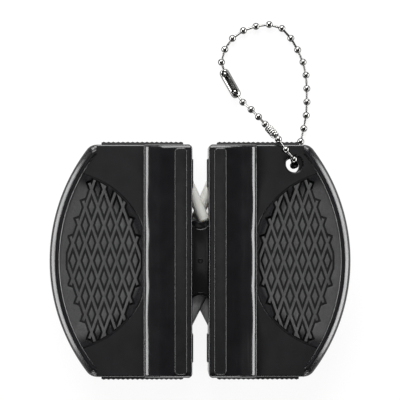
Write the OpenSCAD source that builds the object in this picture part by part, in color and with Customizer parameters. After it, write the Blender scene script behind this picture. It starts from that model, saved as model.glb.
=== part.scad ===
/* [Body] */
// Width across both wings
body_w = 62; // [51:0.5:75]
// Length of the shells, end face to end face
shell_l = 47.8; // [39:0.2:58]
// Radius of each wing's outer edge, seen from the front
wing_r = 38; // [32:0.5:50]
// Thickness over the spine bars
spine_t = 16; // [13:0.5:20]
// Thickness of the wings at their flats
wing_t = 6.4; // [5.3:0.1:8]
// Rounding of the wings' four corners, seen from the front
corner_r = 2.5; // [1:0.1:3]
// Rounding of the wings' outer edge
rim_r = 1.6; // [0.8:0.1:2]
// Width of the raised rim along the outer edge
rim_w = 1.9; // [1:0.1:3]
// Height of the rim above the wing's flat
rim_h = 0.4; // [0.2:0.1:0.6]

/* [Spine] */
// Width of the spine, over both halves
spine_w = 23; // [20:0.5:26]
// Drop from the spine bars to the shoulder beside them
shoulder_drop = 0.5; // [0.3:0.1:1]
// Drop from the spine bars to the top of the spine's side wall
wall_drop = 2.4; // [1.5:0.1:3]
// Drop from the spine bars to the crease in the shoulder
crease_drop = 1; // [0.8:0.1:1.4]
// How far the spine's side wall leans in
wall_lean = 0.5; // [0:0.1:1]
// Width of each spine bar
bar_w = 2.5; // [1.5:0.1:3.5]
// Distance of each bar's ends from the shells' end faces
bar_end = 0.75; // [0.4:0.05:3]
// Rounding of the bars' ends, seen from the front
bar_r = 0.8; // [0.3:0.1:1.2]
// Distance of each bar from the slot's wall
bar_inset = 1.1; // [0.6:0.1:1.5]
// How far each bar sits down into its groove
bar_seat = 0.5; // [0.3:0.1:1]

/* [Slot and bridge] */
// Width of the slot that the knife passes through
slot_w = 3.36; // [3:0.02:4]
// Length of the bridge that joins the two halves
bridge_l = 14.4; // [12:0.2:18]
// Thickness of each shell's plate over the bridge
bridge_plate = 1.65; // [1:0.05:2.4]
// Radius of the round notch in each end of the bridge
notch_r = 1.9; // [1.7:0.1:3]
// Depth of that notch
notch_d = 0.7; // [0.3:0.1:1]

/* [Cradles] */
// Wall of the cradles over the ceramic rods
cradle_cover = 0.19; // [0.1:0.01:0.6]
// Wall of the shells beside the cradles
cradle_side = 1.7; // [1:0.1:3]
// Wall of the shells beyond the cradles' ends
cradle_end = 3; // [1:0.1:4]
// How far the cradles' part of the bridge shows past the shells'
bridge_step = 0.5; // [0.2:0.1:0.8]
// How far the cradles stand into the slot near its mouths
mouth_step = 0.25; // [0.1:0.05:0.4]
// Height above the middle where that step starts
mouth_y = 15.2; // [14:0.1:18]

/* [Ceramic rods] */
// Diameter of each rod
rod_d = 2.36; // [1.8:0.02:2.9]
// Length of each rod
rod_l = 13; // [10:0.1:13.4]
// Angle of each rod from the slot's line
rod_angle = 23.5; // [20:0.5:25]
// Height of the crossing above the middle
rod_cross_y = 10.3; // [10:0.1:11]
// How far each rod runs past the crossing
rod_past = 2.4; // [2:0.1:2.6]

/* [Carbide blades] */
// Thickness of each blade
blade_t = 1.5; // [1:0.1:2]
// Width of each blade
blade_w = 3.2; // [2.6:0.1:3.6]
// Length of each blade
blade_l = 9; // [8:0.1:9.4]
// Angle of each blade's edge from the slot's line
blade_angle = 27; // [24:0.5:30]
// Depth of the V's apex below the middle
blade_apex_y = 10.3; // [9.8:0.1:11]
// How far each edge runs past the apex
blade_past = 2.9; // [2.4:0.1:3]

/* [Grips] */
// Radius of the grip's round side, towards the spine
scoop_r = 18.6; // [16:0.2:20]
// Distance of that side's centre from the outer edge
scoop_inset = 2; // [0:0.1:4]
// Thickness of each grip inlay
grip_t = 1.2; // [0.8:0.1:1.4]
// Gap between the grip and the rim
grip_gap = 0.2; // [0.1:0.05:0.6]
// How far the grip lies below the wing's flat
grip_sink = 0.2; // [0:0.05:0.4]

/* [End pads] */
// Distance of each pad's inner end from the middle of the tool
pad_from = 3.5; // [3:0.1:5]
// Distance of each pad's outer end from the wing's rounded corner
pad_end = 1; // [0.5:0.1:6]
// Height of each pad, along the tool's thickness
pad_h = 5; // [3:0.1:5.4]
// How far the pads stand out of the end faces, teeth included
pad_proud = 0.6; // [0.4:0.05:1]
// How deep the pads sit in the end faces
pad_seat = 0.6; // [0.4:0.05:1]
// Spacing of the teeth on the pads
tooth_pitch = 1; // [0.7:0.1:2]
// Height of the teeth
tooth_h = 0.18; // [0.1:0.01:0.3]

/* [Pins] */
// Diameter of the locating pins
pin_d = 2; // [1.5:0.1:2.4]
// Length of the locating pins
pin_l = 4.8; // [3:0.1:5]
// Distance of the pins from the spine's side wall
pin_inset = 2.5; // [2:0.1:3.5]
// Distance of the pins from the end faces
pin_end = 4.3; // [3.5:0.1:5]

/* [Chain] */
// Diameter of the hole for the chain
hole_d = 3.5; // [3.2:0.1:4.2]
// Size of the chamfer round its mouths
hole_ease = 0.3; // [0.1:0.05:0.5]
// Distance of that hole from the end face
hole_end = 3.95; // [3:0.05:5]
// Distance of that hole from the outer edge
hole_inset = 11.6; // [10.5:0.1:13]
// Diameter of each bead
bead_d = 1.45; // [1.2:0.05:1.5]
// Diameter of the wire between the beads
wire_d = 0.45; // [0.3:0.05:0.6]
// Spacing of the beads
bead_pitch = 2.8; // [2.4:0.1:3.4]
// Diameter of the wire coil on the chain
coil_d = 1.7; // [1.4:0.1:1.8]
// Length of the wire coil
coil_l = 2.6; // [2:0.1:2.8]
// Length of the clasp
clasp_l = 6.5; // [6:0.1:7]
// Outer diameter of the clasp
clasp_d = 2.05; // [2:0.05:2.4]
// Wall of the clasp
clasp_wall = 0.2; // [0.1:0.01:0.25]
// Width of the clasp's seam
seam_w = 0.5; // [0.4:0.05:0.7]
// Room for the wire in the clasp's two necks, all round
neck_gap = 0.4; // [0.2:0.05:0.45]
// Diameter of the two openings in the clasp
clasp_hole_d = 1.5; // [1.3:0.1:1.7]

/* [Fits] */
// Clearance round each piece that is pressed or laid in a pocket
fit = 0.05; // [0.02:0.01:0.1]
// Clearance round the pins and the ceramic rods
bore_fit = 0.02; // [0.01:0.01:0.05]

/* [Hidden] */
$fn = 96;
eps = 0.01;
mid_z = spine_t / 2;
half_w = body_w / 2;
half_l = shell_l / 2;
slot_x = slot_w / 2;
spine_x = spine_w / 2;
wing_h = wing_t / 2;
arc_x = wing_r - half_w;
bar_x = slot_x + bar_inset;
bar_l = shell_l - 2 * bar_end;
cradle_t = 2 * (rod_d + fit + cradle_cover);
cradle_w = spine_w - 2 * cradle_side;
cradle_l = shell_l - 2 * cradle_end;
bridge_t = cradle_t + 2 * (fit + bridge_plate);
scoop_x = half_w - scoop_inset;
pin_x = spine_x + pin_inset;
pin_y = half_l - pin_end;
crease_x = bar_x + bar_w + 0.45 * (spine_x - bar_x - bar_w);
groove_z = mid_z - shoulder_drop - bar_seat;
pad_base = half_l - pad_seat;
// Centre and tangent points of the wings' rounded corners
corner_y = half_l - corner_r;
corner_x = sqrt(pow(wing_r - corner_r, 2) - pow(corner_y, 2)) - arc_x;
corner_a = atan2(corner_y, corner_x + arc_x);
pad_l = corner_x - pad_from - pad_end;
pad_teeth = round(pad_l / tooth_pitch);
// The chain's hole keeps its distance from the end face and the corner
hole_y = half_l - hole_end;
hole_x = half_w - hole_inset;
hole_r = hole_d / 2;
bead_r = bead_d / 2;

// Route of the chain's centre line, from the end bead in one end of the clasp, over the end of
// the wing, down through its hole, round the loop on the ground and back into the clasp.
ROUTE = [
    [7.45, 35.0, 1.85], [8.3, 33.6, 2.15], [9.7, 32.3, 3.2], [11.6, 30.4, 5.3], [13.3, 28.4, 7.7],
    [15.0, 26.4, 10.3], [16.4, 24.5, 12.25], [17.75, 22.6, 12.6], [19.2, 20.9, 11.9],
    [19.6, 19.8, 9.6], [19.4, 19.6, 7.0], [19.6, 20.2, 4.4], [20.3, 21.9, 2.2], [21.0, 24.0, 1.0],
    [21.5, 26.0, 0.75], [22.1, 28.6, 0.75], [22.45, 31.2, 0.75], [22.5, 34.0, 0.75],
    [22.45, 36.8, 0.75], [22.2, 39.4, 0.75], [21.4, 42.2, 0.75], [20.2, 44.6, 0.75],
    [18.9, 46.7, 0.75], [17.3, 48.4, 0.75], [15.1, 49.2, 0.75], [12.5, 49.0, 0.75],
    [9.7, 48.2, 0.75], [7.3, 46.7, 0.75], [5.6, 44.6, 0.75], [4.7, 42.2, 0.8],
    [4.7, 40.4, 0.95], [5.4, 38.7, 1.2]
];
ROUTE_STEPS = 12;
COIL_AT = 5;

// A point between p1 and p2 on the smooth curve through all four points
function smooth(p0, p1, p2, p3, t) =
    0.5 * (2 * p1 + (p2 - p0) * t + (2 * p0 - 5 * p1 + 4 * p2 - p3) * t * t
        + (3 * p1 - p0 - 3 * p2 + p3) * t * t * t);
function route_point(i) = ROUTE[max(0, min(len(ROUTE) - 1, i))];
CURVE = [
    for (i = [0 : len(ROUTE) - 2], s = [0 : ROUTE_STEPS - 1])
        smooth(route_point(i - 1), route_point(i), route_point(i + 1), route_point(i + 2), s / ROUTE_STEPS),
    route_point(len(ROUTE) - 1)
];
// Length along the curve up to each of its points
ALONG = [
    for (i = 0, d = 0; i < len(CURVE);
        d = d + (i + 1 < len(CURVE) ? norm(CURVE[i + 1] - CURVE[i]) : 0), i = i + 1) d
];
route_l = ALONG[len(ALONG) - 1];
bead_n = round(route_l / bead_pitch);
function place(d, i = 1) =
    i >= len(ALONG) - 1 || ALONG[i] >= d
        ? let (t = (d - ALONG[i - 1]) / (ALONG[i] - ALONG[i - 1]))
            CURVE[i - 1] + (CURVE[i] - CURVE[i - 1]) * t
        : place(d, i + 1);
BEADS = [for (i = [0 : bead_n]) place(i * route_l / bead_n)];
clasp_from = BEADS[0];
clasp_to = BEADS[bead_n];

// Draws its children along +Z from point a towards point b
module along(a, b) {
    d = b - a;
    translate(a)
        rotate([0, acos(d.z / norm(d)), atan2(d.y, d.x)])
            children();
}

// Keeps the children and adds their copy on the other wing
module both_sides() {
    children();
    mirror([1, 0, 0]) children();
}

// Cuts the wing's two square corners down to a round
module corner_cutters() {
    for (m = [0, 1]) mirror([0, m, 0])
        difference() {
            linear_extrude(spine_t, center = true)
                polygon([
                    [corner_x, corner_y],
                    [corner_x, half_l + 1],
                    [half_w, half_l + 1],
                    [corner_x + 4 * cos(corner_a), corner_y + 4 * sin(corner_a)]
                ]);
            cylinder_at(corner_x, corner_y, corner_r, spine_t + 2);
        }
}

// An upright cylinder, centred on its height
module cylinder_at(x, y, r, h) {
    translate([x, y, 0]) cylinder(r = r, h = h, center = true);
}

// One wing above the middle plane: a disc with a rounded, raised rim
module wing_half() {
    top = wing_h + rim_h;
    intersection() {
        translate([-arc_x, 0, 0])
            rotate_extrude($fn = 180) {
                square([wing_r - rim_w, wing_h]);
                square([wing_r, top - rim_r]);
                translate([wing_r - rim_w, 0]) square([rim_w - rim_r, top]);
                translate([wing_r - rim_r, top - rim_r])
                    intersection() {
                        circle(rim_r);
                        square(rim_r);
                    }
            }
        translate([0, -half_l, 0]) cube([half_w + 1, shell_l, mid_z]);
    }
}

// One side of the spine above the middle plane, with a groove for its bar
module spine_half() {
    rotate([90, 0, 0])
        linear_extrude(shell_l, center = true)
            polygon([
                [0, 0], [spine_x, 0], [spine_x, wing_h], [spine_x - wall_lean, mid_z - wall_drop],
                [crease_x, mid_z - crease_drop], [bar_x + bar_w, mid_z - shoulder_drop],
                [0, mid_z - shoulder_drop]
            ]);
}

// A spine bar's outline seen from the front, grown by g
module bar_outline(g) {
    r = bar_r + g;
    w = bar_w + 2 * g;
    l = bar_l + 2 * g;
    translate([bar_x + bar_w / 2, 0]) {
        square([w - 2 * r, l], center = true);
        square([w, l - 2 * r], center = true);
        for (x = [-1, 1], y = [-1, 1])
            translate([x * (w / 2 - r), y * (l / 2 - r)]) circle(r);
    }
}

// The grip's outline as an upright block, grown by g
module grip_block(g, h) {
    intersection() {
        cylinder_at(scoop_x, 0, scoop_r + g, h);
        cylinder_at(-arc_x, 0, wing_r - rim_w - grip_gap + g, h);
        translate([spine_x + grip_gap - g, -half_l, -h / 2]) cube([half_w, shell_l, h]);
    }
}

// The round notch in both ends of a bridge that reaches y from the middle
module bridge_notches(y) {
    for (m = [0, 1]) mirror([0, m, 0])
        cylinder_at(0, y - notch_d + notch_r, notch_r, spine_t + 2);
}

// The slot's open part beyond a bridge that reaches y from the middle, at half width x
module slot_cut(x, y) {
    for (m = [0, 1]) mirror([0, m, 0])
        translate([-x, y, -spine_t]) cube([2 * x, shell_l, 2 * spine_t]);
}

// The flat pocket for the two cradles, cut through the slot's walls
module cradle_pocket() {
    cube([cradle_w + 2 * fit, cradle_l + 2 * fit, cradle_t + 2 * fit], center = true);
}

// The seats of the four pads in the end faces
module pad_pockets() {
    for (m = [0, 1]) mirror([0, m, 0])
        both_sides()
            translate([pad_from - fit, pad_base - fit, -pad_h / 2 - fit])
                cube([pad_l + 2 * fit, pad_seat + 1, pad_h + 2 * fit]);
}

// The front shell about the middle plane
module shell_body() {
    difference() {
        union() {
            both_sides() {
                difference() {
                    wing_half();
                    corner_cutters();
                }
                spine_half();
            }
        }
        slot_cut(slot_x, bridge_l / 2);
        bridge_notches(bridge_l / 2);
        translate([-slot_x, -half_l, bridge_t / 2]) cube([slot_w, shell_l, spine_t]);
        cradle_pocket();
        both_sides() {
            translate([0, 0, groove_z - fit]) linear_extrude(spine_t) bar_outline(fit);
            translate([0, 0, wing_h - grip_sink - grip_t - fit + spine_t / 2]) grip_block(fit, spine_t);
        }
        pad_pockets();
        for (x = [-pin_x, pin_x], y = [-pin_y, pin_y])
            cylinder_at(x, y, pin_d / 2 + bore_fit, pin_l + 2 * fit);
    }
}

// The chain's hole through one shell, with an eased mouth
module chain_hole(x) {
    cylinder_at(x, hole_y, hole_r, 2 * spine_t);
    translate([x, hole_y, wing_h - hole_ease])
        cylinder(r1 = hole_r, r2 = hole_r + 2 * hole_ease, h = 2 * hole_ease);
}

module front_shell() {
    color([0.07, 0.07, 0.075])
        translate([0, 0, mid_z])
            difference() {
                shell_body();
                chain_hole(hole_x);
            }
}

module back_shell() {
    color([0.1, 0.1, 0.105])
        translate([0, 0, mid_z])
            rotate([0, 180, 0])
                difference() {
                    shell_body();
                    chain_hole(-hole_x);
                }
}

// A cradle on the +Y side: a flat block with the slot's continuation and its own bridge
module cradle_body() {
    reach = bridge_l / 2 + bridge_step;
    difference() {
        translate([-cradle_w / 2, fit, -cradle_t / 2]) cube([cradle_w, cradle_l / 2 - fit, cradle_t]);
        translate([-slot_x, reach, -cradle_t]) cube([slot_w, mouth_y - reach, 2 * cradle_t]);
        translate([mouth_step - slot_x, reach, -cradle_t])
            cube([slot_w - 2 * mouth_step, cradle_l, 2 * cradle_t]);
        bridge_notches(reach);
    }
}

// A rod's shape in front of the middle plane, grown by g
module rod_shape(g) {
    z = rod_d / 2 + fit;
    translate([0, rod_cross_y, z])
        rotate([0, 0, rod_angle])
            translate([0, -rod_past - g, 0])
                rotate([-90, 0, 0])
                    cylinder(d = rod_d + 2 * g, h = rod_l + 2 * g);
}

// A blade's shape in front of the middle plane, grown by g
module blade_shape(g) {
    translate([0, -blade_apex_y, fit - g])
        rotate([0, 0, -blade_angle])
            translate([-blade_w - g, blade_past - blade_l - g, 0])
                cube([blade_w + g, blade_l + 2 * g, blade_t + 2 * g]);
}

module rod_cradle() {
    color([0.16, 0.16, 0.17])
        translate([0, 0, mid_z])
            difference() {
                cradle_body();
                rod_shape(bore_fit);
                rotate([0, 180, 0]) rod_shape(bore_fit);
            }
}

module blade_cradle() {
    color([0.16, 0.16, 0.17])
        translate([0, 0, mid_z])
            difference() {
                mirror([0, 1, 0]) cradle_body();
                blade_shape(fit / 2);
                rotate([0, 180, 0]) blade_shape(fit / 2);
            }
}

module ceramic_rod_front() {
    color([0.86, 0.84, 0.8]) translate([0, 0, mid_z]) rod_shape(0);
}

module ceramic_rod_back() {
    color([0.86, 0.84, 0.8]) translate([0, 0, mid_z]) rotate([0, 180, 0]) rod_shape(0);
}

module carbide_blade_front() {
    color([0.45, 0.45, 0.46]) translate([0, 0, mid_z]) blade_shape(0);
}

module carbide_blade_back() {
    color([0.45, 0.45, 0.46]) translate([0, 0, mid_z]) rotate([0, 180, 0]) blade_shape(0);
}

// A spine bar on the front's +X side
module spine_bar() {
    color([0.13, 0.13, 0.14])
        translate([0, 0, groove_z])
            linear_extrude(mid_z - groove_z) bar_outline(0);
}

module spine_bar_front_left() { translate([0, 0, mid_z]) mirror([1, 0, 0]) spine_bar(); }
module spine_bar_front_right() { translate([0, 0, mid_z]) spine_bar(); }
module spine_bar_back_left() { translate([0, 0, mid_z]) rotate([0, 180, 0]) spine_bar(); }
module spine_bar_back_right() {
    translate([0, 0, mid_z]) mirror([0, 0, 1]) spine_bar();
}

// A grip inlay on the front's +X side
module grip() {
    color([0.3, 0.3, 0.3])
        translate([0, 0, wing_h - grip_sink - grip_t / 2])
            grip_block(0, grip_t);
}

module grip_front_left() { translate([0, 0, mid_z]) mirror([1, 0, 0]) grip(); }
module grip_front_right() { translate([0, 0, mid_z]) grip(); }
module grip_back_left() { translate([0, 0, mid_z]) rotate([0, 180, 0]) grip(); }
module grip_back_right() { translate([0, 0, mid_z]) mirror([0, 0, 1]) grip(); }

// A pad on the +X, +Y side, with teeth that run through its height
module end_pad() {
    pitch = pad_l / pad_teeth;
    root = half_l + pad_proud - tooth_h;
    color([0.11, 0.11, 0.11])
        translate([0, 0, mid_z])
            linear_extrude(pad_h, center = true)
                polygon(concat(
                    [[pad_from + pad_l, pad_base], [pad_from, pad_base]],
                    [for (i = [0 : pad_teeth - 1], s = [0, 1])
                        [pad_from + (i + s / 2) * pitch, root + s * tooth_h]],
                    [[pad_from + pad_l, root]]
                ));
}

module end_pad_top_left() { mirror([1, 0, 0]) end_pad(); }
module end_pad_top_right() { end_pad(); }
module end_pad_bottom_left() { mirror([1, 0, 0]) mirror([0, 1, 0]) end_pad(); }
module end_pad_bottom_right() { mirror([0, 1, 0]) end_pad(); }

module locating_pins() {
    color([0.7, 0.7, 0.72])
        translate([0, 0, mid_z])
            for (x = [-pin_x, pin_x], y = [-pin_y, pin_y])
                cylinder_at(x, y, pin_d / 2, pin_l);
}

module chain_beads() {
    color([0.8, 0.8, 0.82])
        for (i = [0 : bead_n])
            if (i != COIL_AT)
                translate(BEADS[i]) sphere(d = bead_d, $fn = 32);
}

// A wire between two beads, which stops short of both at the coil's ends too
module chain_links() {
    color([0.7, 0.7, 0.72])
        for (i = [0 : bead_n - 1]) {
            a = BEADS[i];
            b = BEADS[i + 1];
            from = (i == COIL_AT ? coil_l / 2 : bead_r) + eps;
            to = (i + 1 == COIL_AT ? coil_l / 2 : bead_r) + eps;
            along(a, b)
                translate([0, 0, from])
                    cylinder(d = wire_d, h = norm(b - a) - from - to, $fn = 16);
        }
}

module chain_coil() {
    color([0.75, 0.75, 0.77])
        translate((BEADS[COIL_AT - 1] + BEADS[COIL_AT + 1]) / 2)
            along([0, 0, 0], BEADS[COIL_AT + 1] - BEADS[COIL_AT - 1])
                cylinder(d = coil_d, h = coil_l, center = true, $fn = 32);
}

// A tube with narrowed ends, a seam along it and two openings for the end beads
module chain_clasp() {
    span = norm(clasp_to - clasp_from);
    in_r = clasp_d / 2 - clasp_wall;
    neck_r = wire_d / 2 + neck_gap;
    color([0.78, 0.78, 0.8])
        along((clasp_from + clasp_to) / 2, clasp_to)
            rotate([0, 0, 90])
                difference() {
                    cylinder(d = clasp_d, h = clasp_l, center = true, $fn = 48);
                    cylinder(r = in_r, h = clasp_l - 2 * clasp_wall, center = true, $fn = 48);
                    cylinder(r = neck_r, h = clasp_l + 1, center = true, $fn = 32);
                    translate([0, -seam_w / 2, -clasp_l]) cube([clasp_d, seam_w, 2 * clasp_l]);
                    for (z = [-span / 2, span / 2])
                        translate([0, 0, z])
                            rotate([0, 90, 0])
                                cylinder(d = clasp_hole_d, h = clasp_d, $fn = 32);
                }
}

front_shell();
back_shell();
rod_cradle();
blade_cradle();
ceramic_rod_front();
ceramic_rod_back();
carbide_blade_front();
carbide_blade_back();
spine_bar_front_left();
spine_bar_front_right();
spine_bar_back_left();
spine_bar_back_right();
grip_front_left();
grip_front_right();
grip_back_left();
grip_back_right();
end_pad_top_left();
end_pad_top_right();
end_pad_bottom_left();
end_pad_bottom_right();
locating_pins();
chain_beads();
chain_links();
chain_coil();
chain_clasp();
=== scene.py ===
"""Looks for a pocket edge sharpener: gloss shells, etched grips, rods, blades and a bead chain."""

import math

import bmesh
import bpy
from mathutils import Matrix, Vector

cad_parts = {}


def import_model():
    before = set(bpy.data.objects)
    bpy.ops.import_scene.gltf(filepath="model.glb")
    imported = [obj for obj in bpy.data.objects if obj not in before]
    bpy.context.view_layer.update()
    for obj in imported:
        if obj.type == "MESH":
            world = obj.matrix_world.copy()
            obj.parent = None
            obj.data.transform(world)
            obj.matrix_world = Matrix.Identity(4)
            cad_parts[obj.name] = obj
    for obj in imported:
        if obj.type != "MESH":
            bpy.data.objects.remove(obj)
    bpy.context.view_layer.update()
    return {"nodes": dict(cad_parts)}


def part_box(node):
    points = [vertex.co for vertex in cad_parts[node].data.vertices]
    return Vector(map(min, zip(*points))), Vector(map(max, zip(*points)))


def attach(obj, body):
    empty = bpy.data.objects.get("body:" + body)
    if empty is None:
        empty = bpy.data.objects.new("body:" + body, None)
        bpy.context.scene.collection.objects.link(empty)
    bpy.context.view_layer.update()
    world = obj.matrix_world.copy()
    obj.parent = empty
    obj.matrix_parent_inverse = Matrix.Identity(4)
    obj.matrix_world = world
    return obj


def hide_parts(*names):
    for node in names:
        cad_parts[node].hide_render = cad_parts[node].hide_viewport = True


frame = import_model()
MM = 0.001

# ---------------------------------------------------------------- sizes, in millimetres
shell_lo, shell_hi = (Vector(c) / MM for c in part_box("front_shell"))
bar_lo, bar_hi = (Vector(c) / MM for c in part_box("spine_bar_front_right"))
HALF_W, HALF_L = shell_hi.x, shell_hi.y
MID_Z = shell_lo.z
BAR_TOP = bar_hi.z - MID_Z
SHOULDER = shell_hi.z - MID_Z
WING = 3.2
RIM_H, RIM_W, RIM_R = 0.4, 1.92, 1.6
RIM_FOOT = RIM_W + 0.18
# (step, tilt in degrees) from the rim's flat top out to its side, and from the ridge down to its wall
RIM_TURN = (
    (0.08, 16), (0.12, 30), (0.2, 35), (0.24, 37), (0.24, 40), (0.2, 44), (0.14, 52), (0.08, 62), (0.06, 74),
)
WING_R = 38.0
ARC_X = WING_R - HALF_W
CORNER_R = 2.5
SLOT_X = 1.68
SLOT_CORNER = 0.9
SPINE_X = 11.5
WALL_TOP_X, WALL_TOP_Z = 11.0, 5.6
WALL_TURN = ((0.07, 31), (0.1, 35), (0.12, 38), (0.12, 41), (0.1, 45), (0.07, 55), (0.04, 70))
CREASE_X, CREASE_Z = 8.08, 7.0
CRADLE_X, CRADLE_Z, CRADLE_Y = 9.85, 2.65, 20.95
BRIDGE_Y, BRIDGE_Z, NOTCH_R, NOTCH_D = 7.2, 4.3, 1.9, 0.7
WEB_Y = 8.3
GATE_R = 0.55
SCOOP_LIP = 0.2
SCOOP_R = 18.6
SCOOP_X = HALF_W - 2.0
HOLE_X, HOLE_Y, HOLE_R = 19.4, 19.95, 1.75
HOLE_EASE = 0.22
BACK_HOLE_X, BACK_HOLE_Y, BACK_HOLE_R = 18.95, 19.5, 1.5
END_R = 0.35
CORNER_Y = HALF_L - CORNER_R
CORNER_X = math.sqrt((WING_R - CORNER_R) ** 2 - CORNER_Y**2) - ARC_X


# ---------------------------------------------------------------- the chain's route, first
ROUTE = [
    (7.45, 35.0, 1.85), (8.3, 33.6, 2.15), (9.7, 32.3, 3.2), (11.6, 30.4, 5.3), (13.3, 28.4, 7.7),
    (15.0, 26.4, 10.3), (16.4, 24.5, 12.25), (17.75, 22.6, 12.6), (19.2, 20.9, 11.9),
    (19.6, 19.8, 9.6), (19.4, 19.6, 7.0), (19.6, 20.2, 4.4), (20.3, 21.9, 2.2), (21.0, 24.0, 1.0),
    (21.5, 26.0, 0.75), (22.1, 28.6, 0.75), (22.45, 31.2, 0.75), (22.5, 34.0, 0.75),
    (22.45, 36.8, 0.75), (22.2, 39.4, 0.75), (21.4, 42.2, 0.75), (20.2, 44.6, 0.75),
    (18.9, 46.7, 0.75), (17.3, 48.4, 0.75), (15.1, 49.2, 0.75), (12.5, 49.0, 0.75),
    (9.7, 48.2, 0.75), (7.3, 46.7, 0.75), (5.6, 44.6, 0.75), (4.7, 42.2, 0.8),
    (4.7, 40.4, 0.95), (5.4, 38.7, 1.2),
]
ROUTE_STEPS = 12
BEAD_D, BEAD_PITCH, WIRE_D = 1.45, 2.8, 0.45
COIL_AT, COIL_L, COIL_D, COIL_TURNS = 5, 3.5, 1.7, 5.25
COIL_WIRE_R = 0.19
CLASP_TURN = 86
CLASP_L, CLASP_D, CLASP_WALL = 6.5, 2.05, 0.2
SEAM_W, CLASP_HOLE_D = 0.5, 1.5


def smooth(p0, p1, p2, p3, t):
    """A point between p1 and p2 on the smooth curve through all four."""
    return 0.5 * (
        2 * p1 + (p2 - p0) * t + (2 * p0 - 5 * p1 + 4 * p2 - p3) * t * t + (3 * p1 - p0 - 3 * p2 + p3) * t**3
    )


def chain_curve():
    """The route as a dense list of points."""
    pts = [Vector(p) for p in ROUTE]
    last = len(pts) - 1
    padded = [pts[0]] + pts + [pts[-1]]
    curve = [
        smooth(*padded[i : i + 4], s / ROUTE_STEPS)
        for i in range(last)
        for s in range(ROUTE_STEPS)
    ]
    return curve + [pts[-1]]


def bead_centres(curve):
    """Points spaced evenly along the curve, about a bead pitch apart."""
    along = [0.0]
    for a, b in zip(curve, curve[1:]):
        along.append(along[-1] + (b - a).length)
    count = round(along[-1] / BEAD_PITCH)
    centres, k = [], 0
    for i in range(count + 1):
        d = i * along[-1] / count
        while k < len(along) - 2 and along[k + 1] < d:
            k += 1
        t = (d - along[k]) / (along[k + 1] - along[k])
        centres.append(curve[k].lerp(curve[k + 1], t))
    return centres, along[-1]


CURVE = chain_curve()
BEADS, CHAIN_L = bead_centres(CURVE)


# ---------------------------------------------------------------- mesh helpers
def new_object(name, mesh):
    ob = bpy.data.objects.new(name, mesh)
    bpy.context.scene.collection.objects.link(ob)
    return ob


def mesh_of(name, verts, faces):
    """A mesh from millimetre points, with outward normals and no doubles."""
    mesh = bpy.data.meshes.new(name)
    mesh.from_pydata([tuple(v) for v in verts], [], faces)
    bm = bmesh.new()
    bm.from_mesh(mesh)
    bmesh.ops.remove_doubles(bm, verts=bm.verts, dist=1e-4)
    bmesh.ops.dissolve_degenerate(bm, edges=bm.edges, dist=1e-4)
    bmesh.ops.recalc_face_normals(bm, faces=bm.faces)
    bm.to_mesh(mesh)
    bm.free()
    return mesh


def lathe(profile, seg):
    """Rings of points turned about Z from (radius, z) pairs; ends at radius 0 close to a point."""
    verts, faces = [], []
    for r, z in profile:
        for k in range(seg):
            a = 2 * math.pi * k / seg
            verts.append(Vector((r * math.cos(a), r * math.sin(a), z)))
    for i in range(len(profile) - 1):
        for k in range(seg):
            a, b = i * seg + k, i * seg + (k + 1) % seg
            faces.append((a, b, b + seg, a + seg))
    return verts, faces


def aim(a, b):
    """The matrix that puts +Z along a to b, at a."""
    return Matrix.Translation(a) @ (b - a).to_track_quat("Z", "Y").to_matrix().to_4x4()


def tube(points, radius, seg, closed_ends=True):
    """A round tube along points, with the frame carried from ring to ring."""
    verts, faces = [], []
    side = None
    for i, p in enumerate(points):
        d = (points[min(i + 1, len(points) - 1)] - points[max(i - 1, 0)]).normalized()
        side = (side - d * side.dot(d)).normalized() if side else d.orthogonal().normalized()
        up = d.cross(side)
        for k in range(seg):
            a = 2 * math.pi * k / seg
            verts.append(p + (side * math.cos(a) + up * math.sin(a)) * radius)
    for i in range(len(points) - 1):
        for k in range(seg):
            a, b = i * seg + k, i * seg + (k + 1) % seg
            faces.append((a, b, b + seg, a + seg))
    if closed_ends:
        faces.append(tuple(range(seg - 1, -1, -1)))
        faces.append(tuple(range(len(verts) - seg, len(verts))))
    return verts, faces


def prism(name, outline, z0, z1):
    """A closed prism over an outline of (x, y) points."""
    n = len(outline)
    verts = [(x, y, z0) for x, y in outline] + [(x, y, z1) for x, y in outline]
    faces = [tuple(range(n - 1, -1, -1)), tuple(range(n, 2 * n))]
    faces += [(k, (k + 1) % n, n + (k + 1) % n, n + k) for k in range(n)]
    return mesh_of(name, verts, faces)


def merged(parts):
    """One list of points and faces from several."""
    verts, faces = [], []
    for v, f in parts:
        base = len(verts)
        verts += v
        faces += [tuple(i + base for i in face) for face in f]
    return verts, faces


def baked(ob):
    """The mesh that the object's modifiers give; the object is removed."""
    graph = bpy.context.evaluated_depsgraph_get()
    mesh = bpy.data.meshes.new_from_object(ob.evaluated_get(graph))
    bpy.data.objects.remove(ob)
    return mesh


def boolean(mesh, other, operation):
    """The mesh cut by, joined to or kept inside the other."""
    ob, tool = new_object("work", mesh), new_object("tool", other)
    mod = ob.modifiers.new("b", "BOOLEAN")
    mod.operation, mod.solver, mod.object = operation, "EXACT", tool
    mod.use_self = operation == "UNION"
    out = baked(ob)
    bpy.data.objects.remove(tool)
    return out


def bevelled(mesh, width, segments=2, angle=35):
    ob = new_object("work", mesh)
    mod = ob.modifiers.new("b", "BEVEL")
    mod.width, mod.segments, mod.limit_method = width, segments, "ANGLE"
    mod.angle_limit = math.radians(angle)
    mod.use_clamp_overlap = True
    return baked(ob)


def finish_mesh(mesh, angle=32):
    """Millimetres to metres, smooth faces, and sharp edges over the angle."""
    mesh.transform(Matrix.Scale(MM, 4))
    mesh.shade_smooth()
    mesh.set_sharp_from_angle(angle=math.radians(angle))
    return mesh


def placed(mesh, matrix):
    """A copy of the mesh moved by the matrix, with its faces turned back out if it was mirrored."""
    out = mesh.copy()
    out.transform(matrix)
    if matrix.to_3x3().determinant() < 0:
        out.flip_normals()
    return out


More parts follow.
